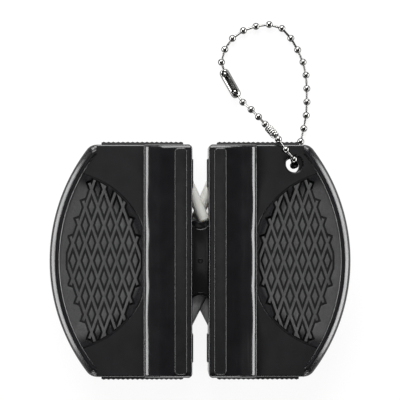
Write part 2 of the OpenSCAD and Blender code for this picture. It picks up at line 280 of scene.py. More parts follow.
FRONT_RIGHT = Matrix.Translation((0, 0, MID_Z))
TURN = Matrix.Rotation(math.pi, 4, "Y")
FRONT_LEFT = FRONT_RIGHT @ Matrix.Scale(-1, 4, (1, 0, 0))
BACK_LEFT = FRONT_RIGHT @ TURN
BACK_RIGHT = FRONT_RIGHT @ Matrix.Scale(-1, 4, (0, 0, 1))


# ---------------------------------------------------------------- materials
class Nodes:
    """Short calls for building one material's node tree."""

    def __init__(self, name, **principled):
        self.mat = bpy.data.materials.new(name)
        self.mat.use_nodes = True
        self.tree = self.mat.node_tree
        self.bsdf = self.tree.nodes["Principled BSDF"]
        for key, value in principled.items():
            self.bsdf.inputs[key.replace("_", " ")].default_value = value
        self.coord = self.tree.nodes.new("ShaderNodeTexCoord").outputs["Object"]
        self.height = None

    def add(self, kind, inputs=(), **props):
        node = self.tree.nodes.new(kind)
        for key, value in props.items():
            setattr(node, key, value)
        for key, value in dict(inputs).items():
            if hasattr(value, "is_linked"):
                self.tree.links.new(value, node.inputs[key])
            else:
                node.inputs[key].default_value = value
        return node

    def stretched(self, scale, turn=(0, 0, 0)):
        node = self.add("ShaderNodeMapping", {"Vector": self.coord, "Scale": scale, "Rotation": turn})
        return node.outputs["Vector"]

    def noise(self, per_mm, detail=3.0, rough=0.5, vector=None):
        inputs = {"Vector": vector or self.coord, "Scale": per_mm / MM, "Detail": detail, "Roughness": rough}
        return self.add("ShaderNodeTexNoise", inputs).outputs["Fac"]

    def ramp(self, value, stops):
        node = self.add("ShaderNodeValToRGB", {"Fac": value})
        ramp = node.color_ramp
        while len(ramp.elements) < len(stops):
            ramp.elements.new(0.5)
        for element, (at, colour) in zip(ramp.elements, stops):
            element.position = at
            element.color = (*colour, 1) if isinstance(colour, tuple) else (colour, colour, colour, 1)
        return node.outputs["Color"]

    def span(self, value, lo, hi, to_lo, to_hi):
        inputs = {"Value": value, "From Min": lo, "From Max": hi, "To Min": to_lo, "To Max": to_hi}
        return self.add("ShaderNodeMapRange", inputs).outputs["Result"]

    def math(self, operation, a, b=0.0):
        return self.add("ShaderNodeMath", {0: a, 1: b}, operation=operation).outputs[0]

    def bump(self, value, height_mm, strength=1.0):
        inputs = {"Height": value, "Distance": height_mm * MM, "Strength": strength}
        if self.height is not None:
            inputs["Normal"] = self.height
        self.height = self.add("ShaderNodeBump", inputs).outputs["Normal"]

    def done(self, colour=None, roughness=None):
        for key, value in (("Base Color", colour), ("Roughness", roughness), ("Normal", self.height)):
            if value is not None:
                self.tree.links.new(value, self.bsdf.inputs[key])
        return self.mat


def gloss_black():
    n = Nodes("gloss_abs", IOR=1.47)
    cloud = n.noise(0.12, 2.0)
    scratch = n.noise(1.2, 2.0, vector=n.stretched((1.0, 0.05, 1.0), (0, 0, 0.4)))
    colour = n.ramp(n.noise(0.35, 3.0), [(0.3, (0.0035, 0.0035, 0.0041)), (0.7, (0.0055, 0.0055, 0.0063))])
    rough = n.span(cloud, 0.3, 0.7, 0.15, 0.22)
    rough = n.math("ADD", rough, n.span(scratch, 0.62, 0.75, 0.0, 0.08))
    n.bump(n.noise(1.6, 2.0), 0.006, 0.5)
    n.bump(n.noise(9.0, 2.0), 0.0012, 0.6)
    return n.done(colour, rough)


def satin_black(name, lo, hi, rough_lo, rough_hi):
    n = Nodes(name, IOR=1.47)
    colour = n.ramp(n.noise(0.5, 4.0), [(0.3, (lo, lo, lo * 1.06)), (0.7, (hi, hi, hi * 1.06))])
    n.bump(n.noise(7.0, 3.0), 0.004, 0.7)
    return n.done(colour, n.span(n.noise(0.4, 3.0), 0.3, 0.7, rough_lo, rough_hi))


def scoop_border(n):
    """1 on the scoop's border strip and 0 further in, from the distance to the scoop's centre."""
    axes = n.add("ShaderNodeSeparateXYZ", {"Vector": n.coord}).outputs
    across = n.math("SUBTRACT", n.math("ABSOLUTE", axes["X"]), SCOOP_X * MM)
    squares = [n.math("POWER", n.math("ABSOLUTE", part), 2.0) for part in (across, axes["Y"])]
    reach = n.math("SQRT", n.math("ADD", *squares))
    return n.span(reach, (SCOOP_R - 3.2) * MM, (SCOOP_R - 1.2) * MM, 0.0, 1.0)


def etched_grip(name="etched_grip", bordered=False):
    n = Nodes(name, IOR=1.42)
    fine, coarse = n.noise(9.0, 4.0, 0.65), n.noise(3.2, 3.0)
    mottle = n.math("ADD", n.math("MULTIPLY", fine, 0.6), n.math("MULTIPLY", coarse, 0.4))
    colour = n.ramp(mottle, [(0.34, (0.023, 0.023, 0.0235)), (0.66, (0.054, 0.054, 0.054))])
    rough = n.span(fine, 0.3, 0.7, 0.6, 0.78)
    strength = 0.9
    if bordered:
        border = scoop_border(n)
        inputs = {"Factor": border, "A": colour, "B": (0.008, 0.008, 0.009, 1)}
        mix = n.add("ShaderNodeMix", inputs, data_type="RGBA")
        colour = mix.outputs["Result"]
        rough = n.math("SUBTRACT", rough, n.math("MULTIPLY", border, 0.44))
        strength = n.span(border, 0.0, 1.0, 0.9, 0.12)
    n.bump(coarse, 0.02, 0.35 if bordered else 0.6)
    n.bump(fine, 0.014, strength)
    return n.done(colour, rough)


# Painted shade: the floor of the engraved grip lines is coloured near black, far darker than the grip, and
# its specular is turned down. This stands in for the shade inside the narrow lines.
def groove_painted_shade():
    n = Nodes("groove_painted_shade", IOR=1.4, Specular_IOR_Level=0.1)
    colour = n.ramp(n.noise(4.0, 3.0), [(0.3, 0.003), (0.7, 0.006)])
    n.bump(n.noise(8.0, 3.0), 0.01, 0.8)
    return n.done(colour, n.span(n.noise(4.0, 2.0), 0.3, 0.7, 0.6, 0.8))


def pad_rubber():
    n = Nodes("pad_rubber", IOR=1.45)
    colour = n.ramp(n.noise(1.5, 4.0), [(0.3, (0.007, 0.007, 0.007)), (0.7, (0.015, 0.015, 0.015))])
    n.bump(n.noise(10.0, 4.0), 0.012, 0.8)
    return n.done(colour, n.span(n.noise(2.0, 3.0), 0.3, 0.7, 0.55, 0.75))


def ceramic():
    n = Nodes("fired_ceramic", IOR=1.6, Subsurface_Weight=0.15, Subsurface_Scale=0.0006)
    n.bsdf.inputs["Subsurface Radius"].default_value = (1.0, 0.9, 0.75)
    specks = n.noise(5.0, 4.0, 0.7)
    shades = [(0.3, (0.74, 0.735, 0.69)), (0.55, (0.82, 0.815, 0.77)), (0.8, (0.86, 0.855, 0.82))]
    colour = n.ramp(specks, shades)
    n.bump(n.noise(11.0, 4.0, 0.6), 0.01, 0.7)
    return n.done(colour, n.span(n.noise(3.0, 3.0), 0.3, 0.7, 0.42, 0.6))


def ground_carbide():
    n = Nodes("ground_carbide", Metallic=1.0)
    lines = n.noise(9.0, 3.0, vector=n.stretched((1.0, 0.04, 1.0), (0, 0, 0.5)))
    grain = n.noise(8.0, 4.0)
    colour = n.ramp(grain, [(0.3, (0.42, 0.42, 0.425)), (0.7, (0.6, 0.6, 0.61))])
    n.bump(lines, 0.008, 0.7)
    return n.done(colour, n.span(lines, 0.3, 0.7, 0.32, 0.48))


def plated(name, lo, hi, rough_lo, rough_hi):
    n = Nodes(name, Metallic=1.0, Specular_Tint=(0.12, 0.12, 0.12, 1))
    shades = [(0.3, (lo, lo * 0.99, lo * 0.965)), (0.7, (hi, hi * 0.99, hi * 0.97))]
    colour = n.ramp(n.noise(1.8, 4.0), shades)
    n.bump(n.noise(4.0, 3.0), 0.004, 0.6)
    return n.done(colour, n.span(n.noise(2.5, 3.0), 0.3, 0.7, rough_lo, rough_hi))


GLOSS = gloss_black()
INNER = satin_black("satin_inner", 0.012, 0.018, 0.4, 0.52)
BAR = satin_black("satin_bar", 0.006, 0.009, 0.2, 0.28)
GRIP = etched_grip()
GRIP_EDGE = etched_grip("etched_grip_border", True)
GROOVE = groove_painted_shade()
PAD = pad_rubber()
CERAMIC = ceramic()
CARBIDE = ground_carbide()
CHROME = plated("bead_nickel", 0.16, 0.26, 0.12, 0.2)
CLASP = plated("clasp_nickel", 0.3, 0.42, 0.14, 0.24)
STEEL = plated("pin_steel", 0.4, 0.5, 0.25, 0.4)


def piece(name, mesh, material, node, body="body"):
    """A finished piece that rides on a body and stands for a CAD node."""
    ob = new_object(name, mesh)
    if not mesh.materials:
        mesh.materials.append(material)
    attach(ob, body)
    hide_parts(node)
    return ob


# ---------------------------------------------------------------- the shells
def outer_x(y, inset):
    """X of the wing's outline at height y, moved in by inset."""
    y = abs(y)
    if y <= CORNER_Y + (CORNER_R - inset) * CORNER_Y / (WING_R - CORNER_R):
        return math.sqrt((WING_R - inset) ** 2 - y * y) - ARC_X
    r = max(CORNER_R - inset, 0.05)
    dy = min(y - CORNER_Y, r)
    return CORNER_X + math.sqrt(max(r * r - dy * dy, 0.0))


def scoop_edge(y):
    """X of the scoop's round edge at height y, or the rim's foot beyond the scoop."""
    rim = outer_x(y, RIM_FOOT)
    if abs(y) >= SCOOP_R:
        return rim
    return min(max(SCOOP_X - math.sqrt(SCOOP_R**2 - y * y), SPINE_X + 0.3), rim)


def end_drop(y, r):
    """How far the surface falls at the rounded end edge."""
    d = abs(y) - (HALF_L - r)
    return r - math.sqrt(max(r * r - d * d, 0.0)) if d > 0 else 0.0


def arc(cx, cz, r, a0, a1, n):
    return [(cx + r * math.cos(math.radians(a0 + (a1 - a0) * k / n)),
             cz + r * math.sin(math.radians(a0 + (a1 - a0) * k / n))) for k in range(n + 1)]


def spine_outline(flare):
    """The spine's (x, z) line from the slot's wall to the wing. flare widens the wall's soft edge."""
    line = arc(SLOT_X + 0.42, SHOULDER - 0.42, 0.42, 180, 90, 6)
    line += [(bar_lo.x - 0.08, SHOULDER), (bar_lo.x - 0.08, SHOULDER - 0.3)]
    line += [(bar_hi.x + 0.08, SHOULDER - 0.3), (bar_hi.x + 0.08, SHOULDER - 0.02)]
    bow = 0.14
    for k in range(1, 6):
        t = k / 6
        line.append((bar_hi.x + 0.08 + (CREASE_X - bar_hi.x) * t,
                     SHOULDER - 0.02 + (CREASE_Z - SHOULDER) * t + bow * math.sin(math.pi * t) * 0.5))
    line.append((CREASE_X, CREASE_Z))
    slope = (WALL_TOP_Z - CREASE_Z) / (WALL_TOP_X - CREASE_X)
    x = WALL_TOP_X + 0.42 - flare * sum(step for step, tilt in WALL_TURN)
    z = CREASE_Z + slope * (x - CREASE_X)
    line += [(CREASE_X + (x - CREASE_X) * k / 5, CREASE_Z + (z - CREASE_Z) * k / 5) for k in range(1, 6)]
    for step, tilt in WALL_TURN:
        x += flare * step
        z -= flare * step * math.tan(math.radians(tilt))
        line.append((x, z))
    line += [(SPINE_X - 0.04, WING + 0.55)]
    line += arc(SPINE_X + 0.24, WING + 0.3, 0.3, 190, 270, 6)
    return line


def wall_flare(y):
    """How wide the wall's soft edge is at height y: widest where the scoop meets it."""
    swell = 0.3 * math.exp(-(((abs(y) - 5.2) / 1.9) ** 2))
    waist = 0.25 * math.exp(-(((abs(y) - 12.0) / 3.0) ** 2))
    return 1.5 + swell - waist


def shell_loop(y):
    """The closed cross-section of one half of the front shell at height y."""
    deep = CRADLE_Z if abs(y) < CRADLE_Y else 0.0
    d = max(abs(y) - (HALF_L - SLOT_CORNER), 0.0)
    slot_in = SLOT_CORNER - math.sqrt(max(SLOT_CORNER**2 - d * d, 0.0))
    low, spine_low = end_drop(y, END_R), end_drop(y, 0.9)
    loop = [(SLOT_X + slot_in, deep), (SLOT_X + slot_in, deep + 1.5), (SLOT_X + slot_in, SHOULDER - 0.8)]
    for x, z in spine_outline(wall_flare(y)):
        drop = spine_low + (low - spine_low) * max(0.0, min(1.0, (WALL_TOP_Z - z) / (WALL_TOP_Z - WING)))
        x_in = x + slot_in * max(0.0, 1 - (x - SLOT_X) / 1.0)
        loop.append((x_in, z - drop))
    edge, rim_foot = scoop_edge(y), outer_x(y, RIM_FOOT)
    start = loop[-1][0]
    floor = WING - 0.7
    open_scoop = edge < rim_foot - 0.05
    lip = min(SCOOP_LIP, 0.4 * (edge - start))
    for t in (0.25, 0.5, 0.75, 1.0):
        loop.append((start + (edge - lip - start) * t, WING - low))
    loop.append((edge, WING - low - (lip if open_scoop else 0.0)))
    loop.append((edge, (floor if open_scoop else WING) - low))
    for t in (0.33, 0.66):
        loop.append((edge + (rim_foot - edge) * t, (floor if open_scoop else WING) - low))
    loop.append((rim_foot, (floor if open_scoop else WING) - low))
    top = WING + RIM_H
    rim_line = [(RIM_FOOT, WING - 0.02), (RIM_W + 0.14, top - 0.2), (RIM_W + 0.03, top - 0.11)]
    rim_line += [(RIM_W - 0.07, top - 0.03), (RIM_W - 0.16, top)]
    inset, fall = 1.36, 0.0
    rim_line.append((inset, top))
    for step, tilt in RIM_TURN:
        inset -= step
        fall += step * math.tan(math.radians(tilt))
        rim_line.append((inset, top - fall))
    rim_line.append((0.0, top - RIM_R))
    for inset, z in rim_line:
        loop.append((outer_x(y, inset), z - low * (z / top) ** 2))
    loop += [(outer_x(y, 0), 1.0), (outer_x(y, 0), 0.12), (outer_x(y, 0.07), 0.0)]
    loop += [(CRADLE_X, 0.0), (CRADLE_X, deep)]
    return loop


def shell_rows():
    """Heights of the cross-sections: close together where the outline turns."""
    half = [0.0, 1.0, 2.0, 3.0, 4.0, 5.0, 5.6]
    half += [5.8 + 0.25 * k for k in range(5)] + [7.3 + 0.5 * k for k in range(20)]
    half += [17.0 + 0.2 * k for k in range(8)] + [18.9, 19.7, 20.4, CRADLE_Y - 0.01, CRADLE_Y + 0.01]
    half += [21.4 + 0.2 * k for k in range(7)]
    for r, n in ((SLOT_CORNER, 6), (END_R, 6)):
        half += [HALF_L - r * (1 - math.sin(math.radians(90 * k / n))) for k in range(n + 1)]
    half = sorted(set(round(v, 4) for v in half))
    return [-v for v in reversed(half[1:])] + half


def half_shell():
    """The +X half of the front shell as a closed mesh about the middle plane."""
    rows = shell_rows()
    loops = [shell_loop(y) for y in rows]
    n = len(loops[0])
    verts = [(x, y, z) for y, loop in zip(rows, loops) for x, z in loop]
    faces = [
        (i * n + k, i * n + (k + 1) % n, (i + 1) * n + (k + 1) % n, (i + 1) * n + k)
        for i in range(len(rows) - 1)
        for k in range(n)
    ]
    faces.append(tuple(range(n)))
    faces.append(tuple(range(len(verts) - n, len(verts))))
    return mesh_of("half_shell", verts, faces)


def hole_cutter(x, y, radius):
    """A round bar with flared ends, which leaves an eased mouth in the wing."""
    turns = [math.radians(a) for a in (0, 15, 30, 45, 60, 75, 90)]
    flare = [(radius + HOLE_EASE * (1 - math.cos(a)), WING - HOLE_EASE * (1 - math.sin(a))) for a in turns]
    profile = [(0.0, -1.0), (radius, -1.0)] + flare + [(radius + HOLE_EASE, WING + 2), (0.0, WING + 2)]
    verts, faces = lathe(profile, 64)
    return mesh_of("hole", [v + Vector((x, y, 0)) for v in verts], faces)


def notched(end, depth):
    """The (x, y) line across the slot at y = end, with a shallow round notch in the middle."""
    half_a = math.degrees(math.acos((NOTCH_R - depth) / NOTCH_R))
    cy, edge = end - depth + NOTCH_R, SLOT_X + 0.05
    notch = [(NOTCH_R * math.sin(math.radians(a)), cy - NOTCH_R * math.cos(math.radians(a)))
             for a in [half_a * (1 - k / 8) for k in range(17)]]
    return [(edge, end)] + notch + [(-edge, end)]


def bridge_plate():
    """The shell's plate over the bridge, the web that closes the rods' end of it, and the gate mark."""
    top = notched(BRIDGE_Y, NOTCH_D)
    web = notched(WEB_Y, NOTCH_D / 2)
    outline = top + [(x, -y) for x, y in reversed(top)]
    plate = bevelled(prism("bridge", outline, CRADLE_Z, BRIDGE_Z), 0.12, 3)
    low = [(-SLOT_X - 0.05, BRIDGE_Y - 1), (SLOT_X + 0.05, BRIDGE_Y - 1)]
    ledge = bevelled(prism("web", web + low, CRADLE_Z - 0.17, CRADLE_Z + 0.02), 0.05, 2)
    mark = [(0.0, -0.1), (GATE_R, -0.1), (GATE_R, 0.01)]
    mark += [(GATE_R - 0.06, 0.05), (GATE_R - 0.2, 0.02), (0.0, 0.02)]
    verts, faces = lathe([(r, BRIDGE_Z + z) for r, z in mark], 32)
    bm = bmesh.new()
    for mesh in (plate, ledge, mesh_of("gate_mark", verts, faces)):
        bm.from_mesh(mesh)
    bm.to_mesh(plate)
    bm.free()
    return plate


def shell(name, node, matrix, hole):
    """A whole shell: two halves, the bridge and the hole for the chain."""
    right = half_shell()
    left = placed(right, Matrix.Scale(-1, 4, (1, 0, 0)))
    if hole[0] > 0:
        right = boolean(right, hole_cutter(*hole), "DIFFERENCE")
    else:
        left = boolean(left, hole_cutter(*hole), "DIFFERENCE")
    bm = bmesh.new()
    for mesh in (right, left, bridge_plate()):
        bm.from_mesh(mesh)
    mesh = bpy.data.meshes.new(name)
    bm.to_mesh(mesh)
    bm.free()
    return piece(name, finish_mesh(placed(mesh, matrix)), GLOSS, node)


# ---------------------------------------------------------------- the grips
PITCH_X, PITCH_Y, FIRST_X = 2.57, 3.67, 13.35
BAND_W, GROOVE_W = 0.5, 0.45
NET_INSET = 3.75
STUB = 1.3
PLATE_BEVEL = 0.055
NET_ROWS = {0: (0, 6), 1: (0.5, 5), 2: (1, 4), 3: (1.5, 3), 4: (2, 2)}


def circle_points(cx, r, a0, a1, n):
    return [(cx + r * math.cos(math.radians(a0 + (a1 - a0) * k / n)),
             r * math.sin(math.radians(a0 + (a1 - a0) * k / n))) for k in range(n + 1)]


def grip_outline(scoop_in, rim_in, wall_in):
    """The grip's outline: the rim's arc, the scoop's circle, and a straight side at the spine."""
    rim_r, scoop_r, wall = WING_R - rim_in, SCOOP_R - scoop_in, SPINE_X + 0.3 + wall_in
    gap = SCOOP_X + ARC_X
    tip_x = (rim_r**2 - scoop_r**2 + gap**2) / (2 * gap)
    tip_rim = math.degrees(math.acos(tip_x / rim_r))
    tip_scoop = math.degrees(math.acos((tip_x - gap) / scoop_r))
    wall_a = math.degrees(math.acos((wall - SCOOP_X) / scoop_r))
    outline = circle_points(-ARC_X, rim_r, -tip_rim, tip_rim, 40)
    outline += circle_points(SCOOP_X, scoop_r, tip_scoop, wall_a, 28)[1:]
    outline += [(x, -y) for x, y in reversed(circle_points(SCOOP_X, scoop_r, tip_scoop, wall_a, 28)[1:])]
    return outline


def band_spans():
    """How far each line of the net runs, from the edges of its diamonds."""
    half, lean, spans = PITCH_X / 2, PITCH_X / 2 / PITCH_Y, {}
    for row, (first, count) in NET_ROWS.items():
        for sign in {-1, 1} if row else {1}:
            cy = sign * row * PITCH_Y
            for k in range(count):
                cx = FIRST_X + PITCH_X * (first + k)
                for side, low, x0 in (
                    (-1, cy, cx + half + lean * cy), (1, cy, cx - half - lean * cy),
                    (1, cy - PITCH_Y, cx + half - lean * cy), (-1, cy - PITCH_Y, cx - half + lean * cy),
                ):
                    lo, hi = spans.get((side, round(x0, 3)), (99.0, -99.0))
                    spans[side, round(x0, 3)] = (min(lo, low), max(hi, low + PITCH_Y))
    return spans


def bands(width, stub):
    """The crossing bands of the net as one closed mesh, each a stub longer than its diamonds."""
    lean = PITCH_X / 2 / PITCH_Y
    norm = math.sqrt(1 + lean * lean)
    dx, dy = width / 2 / norm, width / 2 * lean / norm
    mesh = None
    for side in (-1, 1):
        bm = bmesh.new()
        for (way, x0), (lo, hi) in sorted(band_spans().items()):
            if way != side:
                continue
            lo, hi = lo - stub, hi + stub
            corners = ((lo, -1), (lo, 1), (hi, 1), (hi, -1))
            ends = [(x0 + side * lean * y + s * dx, y - s * side * dy) for y, s in corners]
            bm.from_mesh(prism("band", ends, -1.0, 1.0))
        family = bpy.data.meshes.new("family")
        bm.to_mesh(family)
        bm.free()
        mesh = boolean(mesh, family, "UNION") if mesh else family
    return mesh


def net(width, stub, scoop_in, rim_in, wall_in):
    clip = prism("clip", grip_outline(scoop_in, rim_in, wall_in), -2.0, 2.0)
    return boolean(bands(width, stub), clip, "INTERSECT")


def sliced(mesh, step):
    """The mesh with extra edges on a square grid, so that it can follow a curved floor."""
    bm = bmesh.new()
    bm.from_mesh(mesh)
    for axis, lo, hi in ((0, 11, 30), (1, -19, 19)):
        at = lo
        while at < hi:
            co, no = [0.0] * 3, [0.0] * 3
            co[axis], no[axis] = at + 0.013, 1.0
            everything = bm.verts[:] + bm.edges[:] + bm.faces[:]
            bmesh.ops.bisect_plane(bm, geom=everything, plane_co=co, plane_no=no)
            at += step
    bm.to_mesh(mesh)
    bm.free()
    return mesh


def ease(t):
    """0 below 0, 1 above 1, and a smooth step between."""
    t = max(0.0, min(1.0, t))
    return t * t * (3 - 2 * t)


def grip_height(x, y):
    """Height of the scooped grip surface above the middle plane."""
    from_scoop = SCOOP_R - math.hypot(x - SCOOP_X, y)
    from_rim = WING_R - RIM_W - math.hypot(x + ARC_X, y)
    dish = 0.4 * ease(from_scoop / 5.0)
    rise = 0.24 * (1 - ease(from_rim / 1.25)) ** 1.4
    return WING - 0.1 - dish + rise


def dished(mesh, top):
    """Moves the mesh's top and bottom onto the scoop's surface, top being the mesh's highest z."""
    for v in mesh.vertices:
        v.co.z += grip_height(v.co.x, v.co.y) - top
    return mesh


def grip_mesh():
    """The grip about the middle plane: a floor painted near black as shade in the engraved lines, and plates
    parted by those lines.
    """
    plate_t = 0.42
    slab = prism("slab", grip_outline(0.05, RIM_W + 0.2, 0.0), -plate_t, 0.0)
    lines = net(BAND_W + 2 * GROOVE_W, STUB + GROOVE_W, 0.02, NET_INSET - GROOVE_W, 0.02)
    around = boolean(slab.copy(), lines, "DIFFERENCE")
    inner = boolean(net(BAND_W, STUB, GROOVE_W, NET_INSET, GROOVE_W), slab, "INTERSECT")
    # This floor shows through the engraved lines and carries the painted-shade groove material.
    floor = prism("floor", grip_outline(0.3, RIM_W + 0.5, 0.2), -plate_t - 0.5, -plate_t + 0.04)
    parts = []
    for mesh, bevel in ((around, PLATE_BEVEL), (inner, PLATE_BEVEL), (floor, 0.0)):
        mesh = sliced(mesh, 1.6)
        if bevel:
            mesh = bevelled(mesh, bevel, 2, 50)
        parts.append(dished(mesh, 0.0))
    bm = bmesh.new()
    for k, mesh in enumerate(parts):
        first = len(bm.faces)
        bm.from_mesh(mesh)
        bm.faces.ensure_lookup_table()
        for face in bm.faces[first:]:
            face.material_index = k
    out = bpy.data.meshes.new("grip")
    bm.to_mesh(out)
    bm.free()
    for material in (GRIP_EDGE, GRIP, GROOVE):
        out.materials.append(material)
    return out


# ---------------------------------------------------------------- bars, rods, blades
def bar_mesh():
    """A spine bar with round-cornered ends and eased edges."""
    r, outline = 0.8, []
    for sx, sy, a0 in ((1, 1, 0), (-1, 1, 90), (-1, -1, 180), (1, -1, 270)):
        cx = bar_hi.x - r if sx > 0 else bar_lo.x + r
        cy = sy * (bar_hi.y - r)
        outline += arc(cx, cy, r, a0, a0 + 90, 8)
    return bevelled(prism("bar", outline, bar_lo.z - MID_Z, BAR_TOP), 0.22, 4)


ROD_D, ROD_L, ROD_ANGLE, ROD_Y, ROD_PAST = 2.36, 13.0, 23.5, 10.3, 2.4
FIT = 0.05


def rod_mesh():
    """A rod in front of the middle plane, with a domed lower end and a broken upper edge."""
    r = ROD_D / 2
    dome, lip = 0.5, 0.2
    profile = [(0.0, 0.0)]
    profile += [((r - dome) + dome * math.sin(math.radians(a)), dome * (1 - math.cos(math.radians(a))))
                for a in range(0, 91, 15)]
    profile += [(r, ROD_L * k / 6) for k in range(1, 6)]
    profile += [(r, ROD_L - lip), (r - lip, ROD_L), (0.0, ROD_L)]
    verts, faces = lathe(profile, 48)
    mesh = mesh_of("rod", verts, faces)
    turn = Matrix.Translation((0, ROD_Y, r + FIT)) @ Matrix.Rotation(math.radians(ROD_ANGLE), 4, "Z")
    mesh.transform(turn @ Matrix.Translation((0, -ROD_PAST, 0)) @ Matrix.Rotation(math.radians(-90), 4, "X"))
    return mesh


BLADE_T, BLADE_W, BLADE_L, BLADE_ANGLE, BLADE_Y, BLADE_PAST = 1.5, 3.2, 9.0, 27.0, 10.3, 2.9


def blade_mesh():
    """A blade in front of the middle plane, its working edge ground back a little at the front."""
    low, high = BLADE_PAST - BLADE_L, BLADE_PAST
    section = [(0.0, 0.35), (-0.32, BLADE_T), (-BLADE_W, BLADE_T), (-BLADE_W, 0.0), (0.0, 0.0)]
    n = len(section)
    verts = [(x, y, z) for y in (low, high) for x, z in section]
    faces = [tuple(range(n)), tuple(range(2 * n - 1, n - 1, -1))]
    faces += [(k, n + k, n + (k + 1) % n, (k + 1) % n) for k in range(n)]
    mesh = bevelled(mesh_of("blade", verts, faces), 0.05, 2, 20)
    turn = Matrix.Rotation(math.radians(-BLADE_ANGLE), 4, "Z")
    mesh.transform(Matrix.Translation((0, -BLADE_Y, FIT)) @ turn)
    return mesh


# ---------------------------------------------------------------- the chain
def bead_parts():
    """Every bead as a ball with a small turned-in hole at both wires."""
    r, hole = BEAD_D / 2, 0.3
    a0 = math.degrees(math.asin(hole / r))
    shape = [(hole - 0.04, -r * math.cos(math.radians(a0)) + 0.16)]
    shape += [(r * math.sin(math.radians(a)), -r * math.cos(math.radians(a)))
              for a in [a0 + (180 - 2 * a0) * k / 14 for k in range(15)]]
    shape += [(hole - 0.04, r * math.cos(math.radians(a0)) - 0.16)]
    parts = []
    for i, centre in enumerate(BEADS):
        if i == COIL_AT:
            continue
        ahead = (BEADS[min(i + 1, len(BEADS) - 1)] - BEADS[max(i - 1, 0)]).normalized()
        matrix = aim(centre, centre + ahead)
        verts, faces = lathe(shape, 24)
        parts.append(([matrix @ v for v in verts], faces))
    return parts


def link_parts():
    """The wires, each from inside one bead to inside the next, straight through the coil."""
    parts = []
    for i in range(len(BEADS) - 1):
        a, b = BEADS[i], BEADS[i + 1]
        points = [a.lerp(b, 0.08 + 0.84 * k / 8) for k in range(9)]
        if i == COIL_AT - 1:
            points.append(b)
        if i == COIL_AT:
            points.insert(0, a)
        parts.append(tube(points, WIRE_D / 2, 10))
    return parts


def coil_mesh():
    """The wire coil: close turns with both ends led in to the chain."""
    a, b = BEADS[COIL_AT - 1], BEADS[COIL_AT + 1]
    mid, wire = (a + b) / 2, COIL_WIRE_R
    matrix = aim(mid, mid + (b - a))
    steps, points = int(COIL_TURNS * 20), []
    for k in range(steps + 1):
        t = k / steps
        turn = 2 * math.pi * COIL_TURNS * t
        radius = (COIL_D / 2 - wire) * min(1.0, 0.72 + 5 * min(t, 1 - t))
        z = (COIL_L - 2 * wire) * (t - 0.5)
        points.append(matrix @ Vector((radius * math.cos(turn), radius * math.sin(turn), z)))
    verts, faces = tube(points, wire, 10)
    return mesh_of("coil", verts, faces)


def clasp_mesh():
    """A rolled tube with necked ends, a seam, and an opening over each end bead."""
    a, b = BEADS[0], BEADS[-1]
    span, r, inner = (b - a).length, CLASP_D / 2, CLASP_D / 2 - CLASP_WALL
    half, hole_r = CLASP_L / 2, CLASP_HOLE_D / 2
    neck = [(0.0, 0.0), (0.25, 0.04), (0.5, 0.14), (0.68, 0.28), (0.8, 0.48)]
    ends = [half - neck[-1][0] + dz for dz, _ in neck]
    zs = {round(-half + 0.4 + k * (2 * half - 0.8) / 40, 4) for k in range(41)}
    for c in (-span / 2, span / 2):
        zs |= {round(c + hole_r * math.cos(math.radians(d)), 4) for d in range(0, 181, 12)}
    zs |= {round(s * e, 4) for e in ends for s in (-1, 1)}
    rows = sorted(z for z in zs if abs(z) <= half)

    def radius(z):
        d = abs(z) - (half - neck[-1][0])
        for (d0, s0), (d1, s1) in zip(neck, neck[1:]):
            if d <= d1:
                return r - (s0 + (s1 - s0) * max(0.0, d - d0) / (d1 - d0))
        return r - neck[-1][1]

    def gap_angle(z):
        gap = SEAM_W / 2
        for c in (-span / 2, span / 2):
            gap = max(gap, math.sqrt(max(hole_r**2 - (z - c) ** 2, 0.0)))
        return math.asin(min(0.95, gap / radius(z)))

    seg, verts, faces = 36, [], []
    for depth in (0.0, CLASP_WALL):
        for z in rows:
            g = gap_angle(z)
            for k in range(seg + 1):
                angle = g + (2 * math.pi - 2 * g) * k / seg
                rad = radius(z) - depth
                verts.append((rad * math.cos(angle), rad * math.sin(angle), z))
    m, layer = seg + 1, len(rows) * (seg + 1)
    for i in range(len(rows) - 1):
        for k in range(seg):
            quad = (i * m + k, i * m + k + 1, (i + 1) * m + k + 1, (i + 1) * m + k)
            faces += [quad, tuple(layer + v for v in reversed(quad))]
        for k in (0, seg):
            faces.append((i * m + k, (i + 1) * m + k, layer + (i + 1) * m + k, layer + i * m + k))
    for i in (0, len(rows) - 1):
        for k in range(seg):
            faces.append((i * m + k, i * m + k + 1, layer + i * m + k + 1, layer + i * m + k))
    mesh = mesh_of("clasp", verts, faces)
    mesh.transform(aim((a + b) / 2, b) @ Matrix.Rotation(math.radians(CLASP_TURN), 4, "Z"))
    return mesh



# ---------------------------------------------------------------- camera, floor and light
def camera():
    data = bpy.data.cameras.new("camera")
    data.sensor_width = 36
    view_w, distance, lean = 82.7, 600.0, 0.9  # width seen, height over the floor, degrees to the left
    data.lens = 36 * (distance - MID_Z) / view_w
    data.clip_start, data.clip_end = 0.05, 10
    cam = bpy.data.objects.new("camera", data)
    bpy.context.scene.collection.objects.link(cam)
    target = Vector((0.0, 12.5, MID_Z))
    place = target + Vector((-math.tan(math.radians(lean)), 0, 1)) * (distance - MID_Z)
    back = (place - target).normalized()
    right = Vector((0, 1, 0)).cross(back).normalized()
    turn = Matrix((right, back.cross(right), back)).transposed()
    cam.location = place * MM
    cam.rotation_euler = turn.to_euler()
    bpy.context.scene.camera = cam


def area(name, place, target, size, power, colour=(1, 1, 1)):
    """A soft box at place, in millimetres, turned to the target."""
    data = bpy.data.lights.new(name, "AREA")
    data.shape, data.size, data.size_y = "RECTANGLE", size[0] * MM, size[1] * MM
    data.energy, data.color = power, colour
    ob = bpy.data.objects.new(name, data)
    bpy.context.scene.collection.objects.link(ob)
    ob.location = Vector(place) * MM
    ob.rotation_euler = (Vector(place) - Vector(target)).to_track_quat("Z", "Y").to_euler()


FLOOR_GLOW = 0.9


